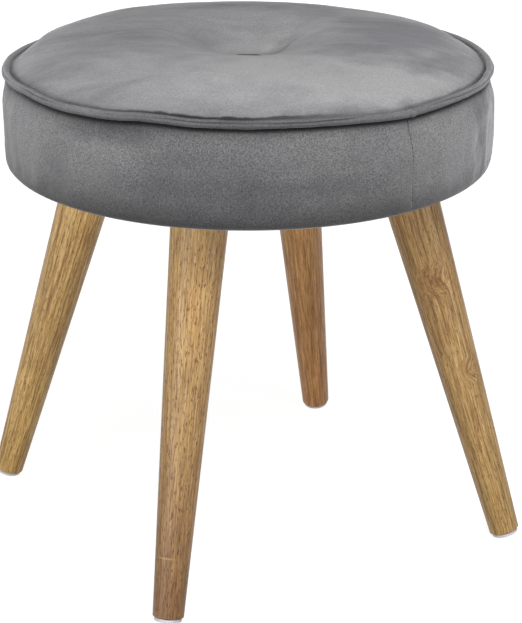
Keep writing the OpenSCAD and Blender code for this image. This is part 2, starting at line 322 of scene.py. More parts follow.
def disc_points(n):
    """A square grid of n by n cells pressed into a unit disc, with its faces."""
    points = []
    for i in range(n + 1):
        for j in range(n + 1):
            x, y = 2 * i / n - 1, 2 * j / n - 1
            points.append((x * sqrt(1 - y * y / 2), y * sqrt(1 - x * x / 2)))
    faces = []
    for i in range(n):
        for j in range(n):
            a = i * (n + 1) + j
            faces.append((a, a + n + 1, a + n + 2, a + 1))
    return points, faces


def evaluated(obj):
    return obj.evaluated_get(bpy.context.evaluated_depsgraph_get())


def bake_modifiers(obj):
    mesh = bpy.data.meshes.new_from_object(evaluated(obj))
    obj.modifiers.clear()
    obj.data = mesh
    mesh.shade_smooth()


def thicken(obj, thickness):
    solid = obj.modifiers.new("Thickness", "SOLIDIFY")
    solid.thickness = thickness
    solid.offset = -1
    bake_modifiers(obj)


def close_ends(obj):
    """Fills a piece's holes and turns its faces outwards."""
    bm = bmesh.new()
    bm.from_mesh(obj.data)
    bmesh.ops.holes_fill(bm, edges=[e for e in bm.edges if e.is_boundary], sides=0)
    bmesh.ops.recalc_face_normals(bm, faces=bm.faces)
    bm.to_mesh(obj.data)
    bm.free()


def puff(obj, held, pressure, grow, cap, frames=20):
    """Fills padded cloth by simulation. held(point) says where it is sewn, and cap is the furthest move."""
    start = [v.co.copy() for v in obj.data.vertices]
    group = obj.vertex_groups.new(name="held")
    for i, p in enumerate(start):
        group.add([i], float(held(p)), "REPLACE")
    cloth = obj.modifiers.new("Cloth", "CLOTH")
    settings = cloth.settings
    for key, value in CLOTH.items():
        setattr(settings, key, value)
    settings.uniform_pressure_force = pressure
    settings.shrink_min = -grow
    settings.effector_weights.gravity = 0
    cloth.collision_settings.use_collision = False
    cloth.point_cache.frame_start = 1
    cloth.point_cache.frame_end = frames
    scene = bpy.context.scene
    for step in range(1, frames + 1):
        scene.frame_set(step)
    moved = [v.co.copy() for v in evaluated(obj).data.vertices]
    obj.modifiers.clear()
    scene.frame_set(1)
    for v, a, b in zip(obj.data.vertices, start, moved):
        move = b - a
        if move.length > cap:
            move *= cap / move.length
        v.co = a + move
    obj.vertex_groups.clear()
    obj.data.update()


# Materials

MATERIALS = {}


class Tree:
    """The nodes of one material or world. In node(), lower-case words are settings, the others inputs."""

    def __init__(self, owner):
        owner.use_nodes = True
        self.tree = owner.node_tree
        self.tree.nodes.clear()

    def node(self, kind, **words):
        made = self.tree.nodes.new("ShaderNode" + kind)
        for word, value in words.items():
            if word.islower():
                setattr(made, word, value)
            else:
                self.put(made.inputs[word.replace("_", " ")], value)
        return made

    def put(self, socket, value):
        """Sets an input, or links it to a socket or to a node's first output."""
        if isinstance(value, bpy.types.Node):
            value = value.outputs[0]
        if isinstance(value, bpy.types.NodeSocket):
            self.tree.links.new(value, socket)
        else:
            socket.default_value = value

    def feed(self, made, *values):
        """Gives a node its inputs in their order and returns its first output."""
        for socket, value in zip(made.inputs, values):
            self.put(socket, value)
        return made.outputs[0]

    def sum(self, operation, *values, clamp=False):
        return self.feed(self.node("Math", operation=operation, use_clamp=clamp), *values)

    def only_seen(self, seen, felt):
        """Shows one shader to the camera, glossy and clear rays, and another to the light on things."""
        rays = self.node("LightPath").outputs
        seen_by = self.sum("MAXIMUM", rays["Is Camera Ray"], rays["Is Glossy Ray"])
        seen_by = self.sum("MAXIMUM", seen_by, rays["Is Transmission Ray"])
        return self.feed(self.node("MixShader"), seen_by, felt, seen)


class Paint(Tree):
    """A node material round a Principled shader, kept in MATERIALS by its name."""

    def __init__(self, name, specular=0.5, **values):
        MATERIALS[name] = bpy.data.materials.new(name)
        super().__init__(MATERIALS[name])
        self.shader = self.node("BsdfPrincipled", Specular_IOR_Level=specular, **values)
        self.node("OutputMaterial", Surface=self.shader)
        self.coords = self.node("TexCoord").outputs["Object"]

    def place(self, vector, scale=(1, 1, 1), turn=(0, 0, 0), move=(0, 0, 0)):
        return self.node("Mapping", Vector=vector, Scale=scale, Rotation=turn, Location=move)

    def noise(self, scale, detail=2, stretch=None, rough=0.5, bend=0, at=None):
        at = at or self.coords
        if stretch:
            at = self.place(at, scale=stretch)
        return self.node("TexNoise", Vector=at, Scale=scale, Detail=detail, Roughness=rough, Distortion=bend)

    def ball(self, at, centre, size, turn=0):
        """1 in the middle of an ellipsoid and 0 outside it: place and half sizes in mm, turn in degrees."""
        place = self.node("Mapping", vector_type="TEXTURE", Vector=at, Location=[v * MM for v in centre],
                          Rotation=(0, 0, radians(turn)), Scale=[v * MM for v in size])
        return self.node("TexGradient", gradient_type="SPHERICAL", Vector=place).outputs["Fac"]

    def attribute(self, name):
        return self.node("Attribute", attribute_name=name).outputs["Fac"]

    def split(self, vector):
        return self.node("SeparateXYZ", Vector=vector).outputs

    def times(self, a, b):
        return self.sum("MULTIPLY", a, b)

    def times_plus(self, a, b, c):
        return self.sum("MULTIPLY_ADD", a, b, c)

    def spread(self, value, low=0.3, high=0.7, to_low=0, to_high=1):
        return self.node("MapRange", Value=value, From_Min=low, From_Max=high, To_Min=to_low, To_Max=to_high)

    def ramp(self, value, *stops):
        made = self.node("ValToRGB", Fac=value)
        band = made.color_ramp.elements
        for n, (place, color) in enumerate(stops):
            stop = band[n] if n < 2 else band.new(place)
            stop.position = place
            stop.color = (*color, 1)
        return made

    def tint(self, amount, base, by, how="MULTIPLY"):
        made = self.node("Mix", data_type="RGBA", blend_type=how, Factor=amount)
        for n, value in ((6, base), (7, by)):
            self.put(made.inputs[n], (*value, 1) if isinstance(value, tuple) else value)
        return made.outputs[2]

    def coat(self, color, roughness, *bumps):
        """Sets colour and roughness and lays the bumps, each (height, depth in metres), one on the other."""
        self.put(self.shader.inputs["Base Color"], color)
        self.put(self.shader.inputs["Roughness"], roughness)
        normal = None
        for height, depth in bumps:
            made = self.node("Bump", Strength=1, Distance=depth, Height=height)
            if normal:
                self.put(made.inputs["Normal"], normal)
            normal = made
        self.put(self.shader.inputs["Normal"], normal)


def scaled(tone, *shares):
    """A tone times one share, or times a share for each of red, green and blue."""
    return tuple(t * share for t, share in zip(tone, shares * 3))


def brushed_and_painted_light(p, at, marks):
    """Adds up soft marks of brushed pile mixed with painted highlight and painted shade, each (x, y, z),
    turn in degrees, (length, width, height) and strength, in mm as the photograph sees the seat. Their edges
    are ragged."""
    ragged = p.node("TexNoise", Vector=at, Scale=22, Detail=3).outputs["Color"]
    off = p.feed(p.node("VectorMath", operation="MULTIPLY_ADD"), ragged, (0.06, 0.06, 0.03),
                 (-0.03, -0.03, -0.015))
    moved = p.feed(p.node("VectorMath", operation="ADD"), at, off)
    total = 0
    for centre, turn, size, strength in marks:
        soft = p.node("MapRange", interpolation_type="SMOOTHSTEP", Value=p.ball(moved, centre, size, turn),
                      From_Max=0.75)
        total = p.times_plus(soft, strength, total)
    return total


def soft_marks(p, at, marks):
    """Adds up soft round marks, each (x, y, z) and (width, depth, height) in mm in the space of at."""
    total = 0
    for centre, size in marks:
        total = p.sum("ADD", p.ball(at, centre, size), total)
    return total


def seam_line(p, left):
    """The sunk stitches of the upright join: a thin broken line, fading towards the bottom, on which this
    share of the tone is left."""
    x, y, z = p.split(p.place(p.coords, turn=(0, 0, -SEAM_ANGLE)))
    waver = p.times_plus(p.noise(90), 1.6 * MM, -0.8 * MM)
    line = p.spread(p.sum("ABSOLUTE", p.sum("ADD", y, waver)), 0.35 * MM, 0.8 * MM, 1, 0)
    stitch = p.sum("SINE", p.times(z, 2 * pi / STITCH))
    broken = p.spread(p.times_plus(p.noise(350), 2.4, stitch), 0.2, 1.8, 0.35, 1)
    fade = p.spread(z, 0.33, 0.385, 0.3, 1)
    front = p.spread(x, 0.1, 0.11)
    return p.times_plus(p.times(p.times(line, broken), p.times(fade, front)), left - 1, 1)


def velvet(name, tone, sheen, clouds=1, seed=0, grain=0.2, marks=(), sides=(0, 1, 1, 1), shades=(),
           seam=False, folds=False):
    """Short grey pile: clouds where the nap lies differently, marks of brushed pile mixed with painted
    highlight and painted shade, and a fine sparkle.
    sides says from which y to which, as the photograph sees it, its tone goes from one share to another,
    which paints shade on one side, and shades how much of it is left at each grade, which paints shade in
    creases; folds adds painted shade in creases read from an attribute."""
    p = Paint(name, 0.15, Sheen_Weight=sheen, Sheen_Roughness=0.45, Sheen_Tint=(0.9, 0.9, 0.93, 1))
    turned = p.place(p.coords, turn=(0, 0, -PHOTO_TURN))
    at = p.place(turned, move=(seed, seed, seed))
    cloud = p.noise(9, 4, stretch=(0.7, 1.15, 1), rough=0.55, bend=0.7, at=at)
    patch = p.noise(34, 4, stretch=(0.55, 1.3, 1), rough=0.65, bend=0.6, at=at)
    pile = p.noise(850, rough=0.6)
    speck = p.noise(2000, 1, rough=0.6)
    nap = p.times_plus(p.spread(patch), 0.42, p.times(p.spread(cloud), 0.58))
    nap = p.spread(nap, 0.5 - 0.5 / clouds, 0.5 + 0.5 / clouds)
    if marks:
        nap = p.sum("ADD", nap, brushed_and_painted_light(p, turned, marks), clamp=True)
    dark, light = scaled(tone, 0.68, 0.675, 0.7), scaled(tone, 1.3, 1.29, 1.275)
    base = p.ramp(nap, (0, dark), (1, light), (0.5, tone))
    shade = p.spread(p.times_plus(speck, 0.7, pile), 0.65, 1.05, 1 - grain, 1 + grain)
    # painted shade by y: the crown darker towards its back, the band and the piping darker on their fronts
    shade = p.times(shade, p.spread(p.split(turned)[1], *sides))
    if shades:
        # painted shade by grade: in creases, in the slit and low on the band
        left = p.ramp(p.attribute("grade"), *((place, (share,) * 3) for place, share in shades))
        shade = p.times(shade, left)
    if seam:
        shade = p.times(shade, seam_line(p, 0.2))
    # painted shade in creases, read from an attribute
    if folds:
        shade = p.times(shade, p.spread(p.attribute("fold"), 0, 1, 1, 0.12))
    grey = p.node("CombineColor", Red=shade, Green=shade, Blue=shade)
    p.coat(p.tint(1, base, grey), p.spread(nap, 0, 1, 0.92, 0.78),
           (cloud, 2.5 * MM), (patch, 0.9 * MM), (pile, 0.25 * MM), (speck, 0.06 * MM))


def plate_matrix(degrees, x=0, y=0):
    """A place on a leg plate's underside, with +X away from the seat's middle."""
    return Matrix.Rotation(radians(degrees), 4, "Z") @ Matrix.Translation((PLATE_R + x, y, PLATE_Z))


def leg_matrix(degrees):
    """The leg's own frame: its origin is the middle of the leg's top and +Z runs up the leg."""
    return plate_matrix(degrees) @ Matrix.Rotation(-LEG_SPLAY, 4, "Y") @ Matrix.Translation((0, 0, -BOSS_L))


def leg_wood(name, degrees, tone, foot, seed, flecks, streaks, knots=(), scars=()):
    """Lacquered hardwood along the leg: growth rings, streaks, fibres, short dark pores and knots."""
    p = Paint(name, 0.35, Coat_Weight=0.12, Coat_Roughness=0.3)
    back = leg_matrix(degrees).inverted()
    leg = p.place(p.coords, turn=tuple(back.to_euler("XYZ")), move=tuple(back.translation))
    own = p.place(leg, move=(seed * 0.37, seed * 0.21, seed * 0.53))
    broad = p.noise(14, 3, stretch=(1, 1, 0.45), at=own)
    waver = p.noise(24, stretch=(1, 1, 0.25), at=own)
    from_pith = p.node("VectorMath", operation="LENGTH")
    p.feed(from_pith, p.place(leg, scale=(1, 1, 0.035), move=(0.028, 0.012, 0)))
    ring_at = p.times_plus(waver, 0.016, from_pith.outputs["Value"])
    knot = soft_marks(p, leg, knots)
    if knot:
        ring_at = p.times_plus(knot, 0.02, ring_at)
        own = p.feed(p.node("VectorMath", operation="ADD"), own, p.times(knot, 0.006))
    late = p.spread(p.sum("FRACT", p.times(ring_at, 300)), 0.5, 1)
    streak = p.noise(300, 4, stretch=(1, 1, 0.03), rough=0.65, bend=0.15, at=own)
    fibre = p.noise(900, 3, stretch=(1, 1, 0.035), rough=0.6, at=own)
    pore = p.noise(1050, stretch=(1, 1, 0.2), rough=0.45, bend=0.1, at=own)
    fine = p.noise(1700, stretch=(1, 1, 0.1), at=own)
    mixed = p.times_plus(p.spread(broad), 0.3, p.times(late, 0.2))
    mixed = p.times_plus(p.spread(streak, 0.33, 0.67), 0.52 * streaks, mixed)
    light, dark = scaled(tone, 1.3, 1.32, 1.36), scaled(tone, 0.56, 0.47, 0.38)
    up = p.split(leg)[2]
    tints = [(p.spread(fibre, 0.4, 0.64), (0.55, 0.46, 0.36)),
             (p.times(p.spread(fine, 0.58, 0.68), 0.7 * flecks), (0.5, 0.4, 0.3)),
             (p.times(p.spread(pore, 0.57, 0.66), flecks), (0.43, 0.31, 0.22)),
             (p.times(knot, 0.8), (0.62, 0.5, 0.38)),
             (p.spread(up, -0.14, -0.3), foot),
             # painted light: the top of the leg is paler, to undo the seat's shade on it
             (p.spread(up, -0.12, -0.03), (1.18, 1.17, 1.15))]
    base = p.ramp(mixed, (0.15, light), (0.92, dark), (0.5, tone))
    for amount, by in tints:
        base = p.tint(amount, base, by)
    base = p.tint(p.times(soft_marks(p, leg, scars), 0.7), base, scaled(tone, 1.2), "MIX")
    p.coat(base, p.spread(streak, 0.3, 0.7, 0.42, 0.56), (streak, 0.05 * MM), (fibre, 0.03 * MM),
           (p.spread(pore, 0.57, 0.7, 1, 0), 0.1 * MM))


def plain_plastic(name, tone, rough):
    p = Paint(name, 0.4)
    scuff = p.noise(700, 3, stretch=(1, 0.3, 1), rough=0.7)
    p.coat(p.ramp(p.noise(60, 3), (0.3, scaled(tone, 0.9)), (0.7, tone)),
           p.spread(scuff, 0.3, 0.7, rough - 0.08, rough + 0.12), (scuff, 0.02 * MM))


def powder_coat(name, tone):
    p = Paint(name)
    wear = p.noise(80, 4, rough=0.7)
    p.coat(p.ramp(wear, (0.35, tone), (0.8, scaled(tone, 1.6))), p.spread(wear, 0.3, 0.7, 0.38, 0.52),
           (p.noise(900), 0.04 * MM))


def steel(name, tone, rough):
    p = Paint(name, Metallic=1)
    spots = p.noise(400, 3, rough=0.6)
    p.coat(p.ramp(spots, (0.3, scaled(tone, 0.8)), (0.7, tone)),
           p.spread(spots, 0.3, 0.7, rough, rough + 0.15),
           (p.noise(1500, stretch=(0.2, 1, 1)), 0.01 * MM))


def spun_cloth(name, tone):
    """Thin black non-woven cloth with its grid of pressed dots."""
    p = Paint(name, 0.25, Sheen_Weight=0.2)
    dots = p.node("TexVoronoi", feature="F1", Randomness=0, Scale=420,
                  Vector=p.place(p.coords, scale=(1, 1, 0.001)))
    dot = p.spread(dots.outputs[0], 0.16, 0.36)
    fibre = p.noise(1300, 3, stretch=(1, 0.4, 1), rough=0.7)
    mixed = p.times_plus(fibre, 0.6, p.times(p.noise(35, 3), 0.4))
    p.coat(p.ramp(mixed, (0.3, scaled(tone, 0.6)), (0.75, scaled(tone, 1.7))),
           p.spread(dot, 0, 1, 0.55, 0.85), (dot, 0.12 * MM), (fibre, 0.06 * MM))


def open_cell(name, tone):
    p = Paint(name, 0.2)
    cell = p.node("TexVoronoi", feature="F1", Scale=900, Vector=p.coords).outputs[0]
    p.coat(p.ramp(cell, (0.1, scaled(tone, 0.72)), (0.6, tone)), p.spread(cell, 0, 0.6, 0.98, 0.9),
           (cell, 0.3 * MM))


def loose_fibre(name, tone):
    p = Paint(name, 0.2, Sheen_Weight=0.3)
    strands = p.noise(420, 5, stretch=(1, 0.25, 0.6), rough=0.75, bend=1.5)
    p.coat(p.ramp(strands, (0.3, scaled(tone, 0.8)), (0.7, tone)), p.spread(strands, 0.3, 0.7, 0.98, 0.88),
           (strands, 0.4 * MM))


def twisted_cotton(name, tone):
    p = Paint(name, 0.2, Sheen_Weight=0.2)
    ply = p.node("TexWave", bands_direction="DIAGONAL", Scale=260, Distortion=1.5,
                 Vector=p.coords).outputs["Fac"]
    fuzz = p.noise(1800, 3)
    p.coat(p.ramp(ply, (0, scaled(tone, 0.7)), (1, tone)), p.spread(fuzz, 0.3, 0.7, 0.95, 0.85),
           (ply, 0.2 * MM), (fuzz, 0.05 * MM))


def plywood(name, tone):
    """Veneers lie one on the other, so their edges show as thin level stripes."""
    p = Paint(name, 0.3)
    veneer = p.sum("FRACT", p.times(p.split(p.coords)[2], 360))
    grain = p.noise(60, 5, stretch=(1, 12, 1), rough=0.65, bend=0.4)
    base = p.ramp(grain, (0.3, scaled(tone, 0.78)), (0.72, tone))
    p.coat(p.tint(p.times(p.spread(veneer, 0.45, 0.55), 0.4), base, (0.6, 0.5, 0.4)),
           p.spread(grain, 0.3, 0.7, 0.75, 0.62), (grain, 0.1 * MM))


# Marks of brushed pile mixed with painted highlight and painted shade, as the velvet's marks take them.
# Those on the crown are (x, y, turn, length, width, strength) here
CROWN_MARKS = [((x, y, 410), turn, (long, wide, 200), strength) for x, y, turn, long, wide, strength in (
    (70, -105, 6, 190, 60, 0.5), (112, 10, 25, 90, 70, -0.6), (105, -60, 0, 60, 34, -0.5),
    (-145, -64, 0, 60, 40, -0.3), (110, -125, 20, 90, 34, 0.75), (158, -50, 52, 75, 18, -0.4),
    (-110, -12, -15, 90, 60, -0.2), (-120, -120, -25, 100, 40, -0.15), (0, 22, 0, 60, 34, 0.35),
    (10, 130, 8, 170, 60, -0.8), (95, -168, 14, 60, 8, -0.15), (133, -130, 45, 52, 20, -0.8),
    (52, -160, 0, 45, 22, 0.3))]
# among the band's marks are painted light on its left end and painted shade under the piping
BAND_MARKS = (
    ((-190, -60, 360), 0, (60, 120, 60), 1), ((-110, -165, 345), 0, (70, 60, 30), 0.15),
    ((-110, -165, 370), 0, (70, 60, 30), 0.5), ((-10, -200, 371), 0, (110, 60, 12), -0.05),
    ((20, -200, 350), 0, (140, 60, 20), -0.25), ((-112, -165, 389), 0, (66, 60, 16), -0.65),
    ((150, -130, 358), 0, (60, 90, 70), 0.35), ((188, -60, 362), 0, (9, 40, 60), -0.9),
    ((197, -25, 362), 0, (12, 40, 70), 0.3))

# Painted shade: how much of the tone is left at a grade, the first and the last stop, then the ones between.
# It darkens the band low down and in the crease under the piping, the crown inside the slit and at its sewn
# edge, and the piping on its underside and where it meets the crown
BAND_SHADES = ((0, 0.32), (1, 0.04), (0.1, 0.5), (0.3, 0.9), (0.55, 1), (0.88, 1), (0.922, 0.87),
               (0.948, 0.68), (0.967, 0.25), (0.978, 0.05))
CROWN_SHADES = ((0, 0.08), (1, 0.3), (0.05, 0.3), (0.085, 1), (0.984, 1), (0.99, 0.65))
PIPING_SHADES = ((0, 0.1), (1, 0.25), (0.3, 0.1), (0.36, 0.5), (0.43, 0.85), (0.52, 1), (0.68, 0.97),
                 (0.78, 0.9), (0.88, 0.8))

VELVET = (0.25, 0.247, 0.254)
velvet("velvet_crown", VELVET, 0.3, clouds=1.1, marks=CROWN_MARKS, sides=(0.03, 0.15, 1, 0.7),
       shades=CROWN_SHADES, folds=True)
# The band is the crown's velvet: its lower tone is painted shade on its upright sides.
velvet("velvet_band", scaled(VELVET, 0.66), 0.6, clouds=0.75, seed=3.1, grain=0.45, marks=BAND_MARKS,
       sides=(-0.19, -0.09, 0.72, 1.05), shades=BAND_SHADES, seam=True)
velvet("velvet_piping", scaled(VELVET, 0.97), 0.4, clouds=0.9, seed=5.7, grain=0.3,
       sides=(-0.19, -0.05, 0.5, 1), shades=PIPING_SHADES, folds=True)
# The button is covered in the same velvet: its low tone is painted shade of the well it sits in.
velvet("velvet_button", scaled(VELVET, 0.35), 0.1, clouds=0.9, seed=8.3)
plain_plastic("glide_plastic", (0.6, 0.58, 0.63), 0.45)
plain_plastic("black_plastic", (0.03, 0.03, 0.032), 0.4)
powder_coat("black_steel", (0.035, 0.035, 0.038))
steel("zinc_steel", (0.62, 0.63, 0.64), 0.28)
steel("staple_wire", (0.58, 0.58, 0.59), 0.32)
spun_cloth("black_cloth", (0.022, 0.022, 0.024))
open_cell("foam", (0.8, 0.72, 0.45))
loose_fibre("wadding", (0.85, 0.85, 0.83))
twisted_cotton("cotton", (0.72, 0.66, 0.52))
plywood("plywood", (0.6, 0.43, 0.25))

# Each leg is cut from its own piece of wood: its tone, what its foot is tinted by, how strong its pores
# and streaks are, and its knots and pale scars as ((x, y, z), (width, depth, height)) in mm along the leg
LEG_LOOKS = {
    "back_right": dict(tone=(0.55, 0.303, 0.116), foot=(0.93, 0.86, 0.84), seed=3, flecks=0.4, streaks=1.15),
    "back_left": dict(tone=(0.68, 0.455, 0.185), foot=(0.76, 0.74, 0.62), seed=7, flecks=0.7, streaks=1.1),
    "front_left": dict(tone=(0.425, 0.27, 0.106), foot=(0.5, 0.4, 0.34), seed=11, flecks=1, streaks=0.85,
                       scars=(((12, -2, -272), (9, 9, 1.2)),)),
    "front_right": dict(tone=(0.41, 0.26, 0.101), foot=(1.03, 1.06, 0.97), seed=17, flecks=0.75, streaks=1.3,
                        knots=(((3, -19, -86), (16, 16, 16)), ((12, -13, -169), (10, 10, 12)))),
}


def dress(obj, slot, *nodes):
    """A new piece takes its material, its slot and the nodes that it stands for."""
    obj.data.materials.clear()
    obj.data.materials.append(MATERIALS[slot])
    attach(obj, "root")
    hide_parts(*nodes)


def paint_nodes():
    for row in frame["record"]["subparts"]:
        node = frame["nodes"][row["node"]]
        name = row["material_slot"]
        if name == "leg_wood":
            place = row["node"].replace("leg_", "")
            name = "wood_" + place
            leg_wood(name, PLACES[place], **LEG_LOOKS[place])
        if not node.material_slots:
            node.data.materials.append(MATERIALS[name])
        for slot in node.material_slots:
            slot.link = "OBJECT"
            slot.material = MATERIALS[name]


# Velvet pieces

def crown_detail(r, a):
    """Height added to the crown: folds drawn in to the tuft, small puckers along the seam, soft lumps."""
    along = from_front(a)
    height = 0
    for at, width, depth, reach in TUFT_FOLDS:
        inside = clamp((r - 8 * MM) / (14 * MM))
        outside = bell(max(0, r - 24 * MM), reach * MM)
        height -= depth * MM * hump(along, at, width) * inside * outside
    s = r / CROWN_R
    for at, width, share, spread, swell in CROWN_SWELLS:
        near = hump(along, at, width) * bell(s - share, spread)
        height += swell * MM * near * min(1, (1 - s) / 0.1)
    pucker = 0.8 * wander(a, 9, 1.7) + 0.6 * wander(a, 24, 4.2)
    height += 1.1 * MM * pucker * bell(CROWN_R - r, 12 * MM)
    height -= EDGE_DIP * (0.25 + 0.75 * max(0, cos(along))) * bell(CROWN_R - 1 * MM - r, 2.6 * MM)
    x, y = r * cos(a), r * sin(a)
    lumps = 1.2 * MM * uneven(x * 13, y * 13, 0.3) + 0.4 * MM * uneven(x * 42, y * 42, 2.3)
    return height + lumps * min(1, (CROWN_R - r) / (25 * MM)) * min(1, r / (70 * MM)) ** 2


def crease_at(x, y):
    """Distance from the nearest lip crease, plus on its far side, and how strong the crease is there."""
    best, side, strong = 1, 1, 0
    for line in LIP_CREASES:
        points = [Vector((a * MM, b * MM)) for a, b in line]
        for n in range(len(points) - 1):
            start, run = points[n], points[n + 1] - points[n]
            off = Vector((x, y)) - start
            t = clamp(off.dot(run) / run.dot(run))
            away = (off - run * t).length
            if away < best:
                best = away
                side = 1 if off.y - run.y * off.x / run.x > 0 else -1
                strong = 1 - (n + t) / (len(points) - 1)
    return best * side, strong


def lip_crease(r, a):
    """How deep the creases beside the slit are at a place, and how much painted shade lies on the pile
    there.
    """
    if r > 75 * MM:
        return 0, 0
    x, y = r * cos(a - PHOTO_TURN), r * sin(a - PHOTO_TURN)
    away, strong = crease_at(x, y)
    depth = CREASE_DEPTH * strong ** 0.7 * bell(away, CREASE_NEAR if away < 0 else CREASE_FAR)
    soft = bell(away, 1.5 * MM) if away < 0 else max(bell(away, 4 * MM), 0.5 * bell(away, 13 * MM))
    return depth * clamp((abs(x) - 8 * MM) / (4 * MM)), strong ** 0.5 * soft


def edge_crease_shade(r, a):
    """The painted shade along the crown's sewn edge: dark in the crease, which is open in front and nearly
    closed beside it.
    """
    along = from_front(a)
    strong = 1 - 0.8 * hump(along, 32, 20)
    strong -= 0.85 * hump(along, -57, 24)
    strong -= 0.5 * hump(along, 66, 12)
    front = max(0, cos(along))
    wide = (1.9 + 4.6 * front) * MM
    # a soft painted shade over the crown's rim in front
    soft = 0.13 * front * clamp((r - CROWN_R + 18 * MM) / (12 * MM))
    return max(soft, strong * clamp((r - CROWN_R + wide) / (1.6 * MM)))


def filled_crown():
    """Cloth on a round frame, filled from below: how far it stands off the drawn shape at a place."""
    flat, faces = disc_points(88)
    start = []
    for x, y in flat:
        s = hypot(x, y)
        low = CROWN_START_DROP * (1 - s ** 4) * min(1, s * CROWN_R / (30 * MM))
        start.append(Vector((x * CROWN_R, y * CROWN_R, soft_crown_z(s * CROWN_R) - low)))
    cloth = make("crown_cloth", start, faces)

    def held(p):
        r = hypot(p.x, p.y)
        return r > CROWN_R - 3 * MM or r < BUTTON_R + 1 * MM

    puff(cloth, held, pressure=4, grow=0.015, cap=7 * MM)
    risen = [v.co.z - p.z for v, p in zip(cloth.data.vertices, start)]
    bpy.data.objects.remove(cloth)
    bands = 24
    rings = [[] for _ in range(bands + 1)]
    for p, rise in zip(start, risen):
        rings[min(bands, round(bands * hypot(p.x, p.y) / CROWN_R))].append(rise)
    mean = [sum(ring) / max(1, len(ring)) for ring in rings]
    corners = []
    for i, j, k, m in faces:
        corners += [(i, j, k), (i, k, m)]
    level = [Vector((p.x, p.y, 0)) for p in start]
    tree = BVHTree.FromPolygons(level, corners)
    lifted = [Vector((p.x, p.y, rise)) for p, rise in zip(start, risen)]

    def shift(r, a):
        near, _, face, _ = tree.find_nearest(polar(min(r, CROWN_R - 0.1 * MM), a, 0))
        i, j, k = corners[face]
        rise = barycentric_transform(near, level[i], level[j], level[k], lifted[i], lifted[j], lifted[k]).z
        at = bands * r / CROWN_R
        low = min(bands - 1, int(at))
        return CROWN_SHARE * (rise - mean[low] - (mean[low + 1] - mean[low]) * (at - low))

    return shift


def tuft_rings():
    """The cloth from the hole for the button's shank: out under the button, up its side and over it to the
    slit's lips. Each ring is (half width across, half width along the photograph's view, z)."""
    side = BUTTON_R + 1.4 * MM
    low = LIP_Z - LIP_R
    rings = [(r, r, crown_z(r)) for r in (SHANK_HOLE_R, 6 * MM, 9.5 * MM)]
    rings += [(side - 0.7 * MM, side - 0.7 * MM, BUTTON_BOTTOM_Z - 0.1 * MM),
              (side, side, BUTTON_BOTTOM_Z + 1.5 * MM), (side, side, low - 0.8 * MM),
              (side - 0.4 * MM, 0.78 * side, low), (side - 0.7 * MM, 0.5 * side, low)]
    for i in range(9):
        t = radians(-90 + 180 * i / 8)
        out = LIP_R * (1 - cos(t))
        rings.append((SLIT_HALF + 0.5 * out, SLIT_GAP + out, LIP_Z + LIP_R * sin(t)))
    return rings


def crown_surface():
    """The top's rings from the button outwards: angles, radii, how many rings are folded in, how many there
    are, and place(angle, ring, below)."""
    columns, rows, edge_rows = 330, 120, 10
    shift = filled_crown()
    folded = tuft_rings()
    first = folded[-1][1]
    radii = []
    for i in range(1, rows + 1):
        radii.append(first + (CROWN_R - EDGE_ZONE - first) * (i / rows) ** 1.2)
    for i in range(1, edge_rows + 1):
        radii.append(CROWN_R - EDGE_ZONE * (1 - i / edge_rows))
    count = len(folded) + len(radii)

    def place(a, j, below=0):
        along = a - PHOTO_TURN
        if j < len(folded):
            wide, deep, z = folded[j]
            lipped = 1 if j >= FIRST_LIP_RING else 0
        else:
            r = radii[j - len(folded)]
            lipped = max(0, 1 - (r - first) / (LIP_BLEND_R - first))
            wide, deep = r + (folded[-1][0] - first) * lipped, r
            z = None
        x, y = wide * cos(along), deep * sin(along) + SLIT_BACK * lipped
        r, turn = hypot(x, y), atan2(y, x) + PHOTO_TURN
        s = r / CROWN_R
        if z is None:
            z = soft_crown_z(r) + drawn_up(turn) * s ** 4 + crown_detail(r, turn) - lip_crease(r, turn)[0]
            z += shift(r, turn) * min(1, r / (60 * MM)) ** 2
        return polar(s * (CROWN_R + CROWN_OUT * s ** 8 - drawn_in(turn) * s ** 3), turn, z - below)

    return even_angles(columns), radii, len(folded), count, place


def build_crown():
    angles, radii, folded, count, place = crown_surface()
    crown = lathe("crown_velvet", angles, count, place)
    # the rings inside the slit take the lowest grades, the darkest stops of the crown's painted shade
    across = [0] * (folded - 3) + [0.005, 0.015, 0.03] + [0.06 + 0.94 * r / CROWN_R for r in radii]
    mark(crown, "grade", across)
    # painted shade in the lip creases and along the crown's edge, kept as an attribute that the velvet reads
    folds = []
    for n, vertex in enumerate(crown.data.vertices):
        x, y, _ = vertex.co
        lip = lip_crease(hypot(x, y), atan2(y, x))[1]
        j = n % count - folded
        folds.append(max(0.75 * lip, edge_crease_shade(radii[j], angles[n // count]) if j >= 0 else 0))
    mark(crown, "fold", folds)
    thicken(crown, VELVET_T)
    dress(crown, "velvet_crown", "top_panel")

    # the wadding fills what the cloth leaves above the foam
    clear = VELVET_T + 0.7 * MM
    beside = BUTTON_R + 1.4 * MM + clear
    wide = [j for j in range(folded, count, 2) if beside + 1 * MM < radii[j - folded] < WADDING_R]
    below = [(r, crown_z(min(r, BUTTON_R)) - clear) for r in (SHANK_HOLE_R, 6 * MM, 10 * MM, beside)]
    half = len(below) + len(wide)

    def layer(a, j):
        k = j if j < half else 2 * half - 1 - j
        p = polar(below[k][0], a, below[k][1]) if k < len(below) else place(a, wide[k - len(below)], clear)
        if j >= half:
            r = hypot(p.x, p.y)
            foam = FOAM_TOP_Z - FOAM_DIP * bell(r, FOAM_DIP_R)
            p.z = max(foam + 0.3 * MM, FLANGE_TOP_Z if r > FLANGE_IN_R - drawn_in(a) else 0)
        return p

    pad = lathe("wadding_pad", angles[::2], 2 * half, layer, closed=True)
    dress(pad, "wadding", "top_wadding")


